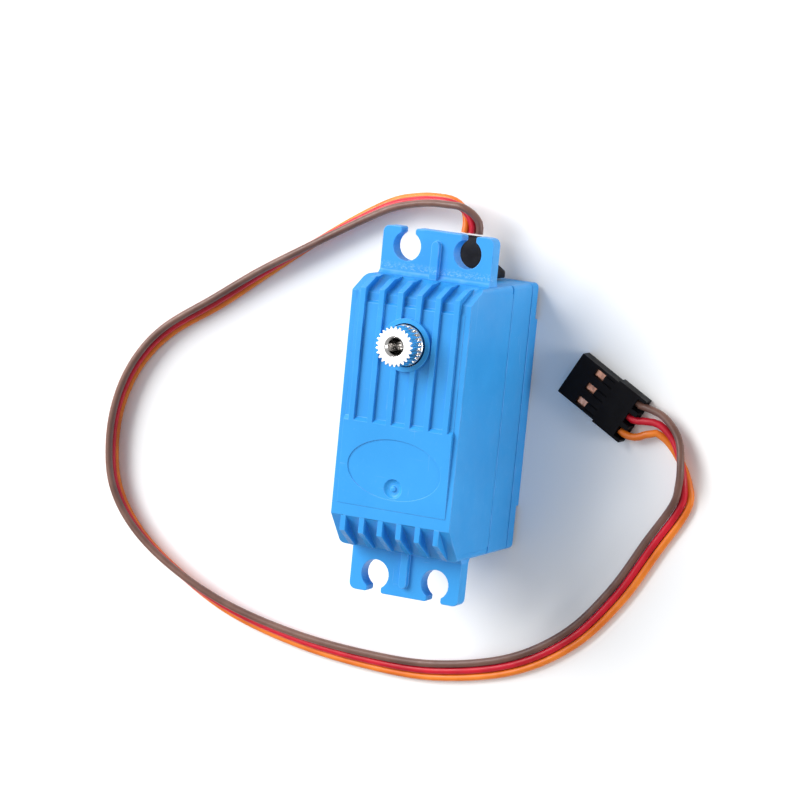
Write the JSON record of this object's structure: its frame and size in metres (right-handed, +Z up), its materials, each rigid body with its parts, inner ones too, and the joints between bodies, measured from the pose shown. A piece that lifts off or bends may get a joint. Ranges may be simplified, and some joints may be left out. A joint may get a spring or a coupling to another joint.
{
  "type": "servo motor",
  "caption": "Low-profile hobby servo: three-shell ribbed plastic case with open-keyhole lugs, splined metal output shaft, geared motor inside, and a ribbon lead ending in a three-pin plug.",
  "frame": {"origin": "middle of the case at its standing face (the plate under the bottom cover)", "axes": "+Z up along the output shaft, +X along the case towards the output shaft and the lead, +Y across the case"},
  "size_m": [0.076, 0.1, 0.0297],
  "materials": {
    "case_plastic": "satin moulded blue plastic",
    "steel": "bright steel",
    "shaft_metal": "polished",
    "gear_brass": "machined",
    "black_plastic": "satin black",
    "white_plastic": "plain",
    "boot_rubber": "matt black",
    "ferrite": "sintered",
    "copper": "lacquered copper winding",
    "circuit_board": "green solder mask",
    "wire_brown": "satin insulation",
    "wire_red": "satin insulation",
    "wire_orange": "satin insulation"
  },
  "bodies": {
    "case": {"upper_case": "case_plastic", "middle_case": "case_plastic", "bottom_cover": "case_plastic", "case_screw_shaft_end_left": "steel", "case_screw_shaft_end_right": "steel", "case_screw_far_end_left": "steel", "case_screw_far_end_right": "steel", "gear_pin": "steel", "bearing_outer_ring": "steel", "output_bushing": "shaft_metal", "motor_can": "steel", "motor_end_cap": "black_plastic", "motor_magnet_left": "ferrite", "motor_magnet_right": "ferrite", "potentiometer_body": "black_plastic", "control_board": "circuit_board", "microcontroller": "black_plastic", "motor_driver_left": "black_plastic", "motor_driver_right": "black_plastic", "board_capacitor": "steel", "lead_boot": "boot_rubber", "lead_brown": "wire_brown", "lead_red": "wire_red", "lead_orange": "wire_orange", "plug_housing": "black_plastic", "terminal_brown": "gear_brass", "terminal_red": "gear_brass", "terminal_orange": "gear_brass"},
    "output": {"output_shaft": "shaft_metal", "bearing_inner_ring": "steel", "potentiometer_sleeve": "white_plastic"},
    "third_gear": {"third_gear": "gear_brass"},
    "second_gear": {"second_gear": "gear_brass"},
    "first_gear": {"first_gear": "gear_brass"},
    "rotor": {"motor_shaft": "steel", "motor_armature": "copper", "motor_pinion": "gear_brass"}
  },
  "joints": [
    {"name": "output_spin", "type": "hinge", "parent": "case", "child": "output", "pos_m": [0.0112, 0, 0.0203], "axis": [0, 0, 1], "range_deg": [-90, 90]},
    {"name": "third_gear_spin", "type": "hinge", "parent": "case", "child": "third_gear", "pos_m": [0.0012, 0, 0.0178], "axis": [0, 0, 1], "range_deg": [-215, 215]},
    {"name": "second_gear_spin", "type": "hinge", "parent": "case", "child": "second_gear", "pos_m": [0.0112, 0, 0.0163], "axis": [0, 0, 1], "range_deg": [-602.69, 602.69]},
    {"name": "first_gear_spin", "type": "hinge", "parent": "case", "child": "first_gear", "pos_m": [0.0012, 0, 0.0148], "axis": [0, 0, 1], "range_deg": [-1706.12, 1706.12]},
    {"name": "rotor_spin", "type": "hinge", "parent": "case", "child": "rotor", "pos_m": [-0.0081, 0, 0.0148], "axis": [0, 0, 1], "range_deg": [-8850.85, 8850.85]}
  ],
  "couplings": [
    {"joint": "third_gear_spin", "follows": "output_spin", "ratio": -2.3333},
    {"joint": "second_gear_spin", "follows": "output_spin", "ratio": 6.641},
    {"joint": "first_gear_spin", "follows": "output_spin", "ratio": -18.901},
    {"joint": "rotor_spin", "follows": "output_spin", "ratio": 98.287}
  ]
}
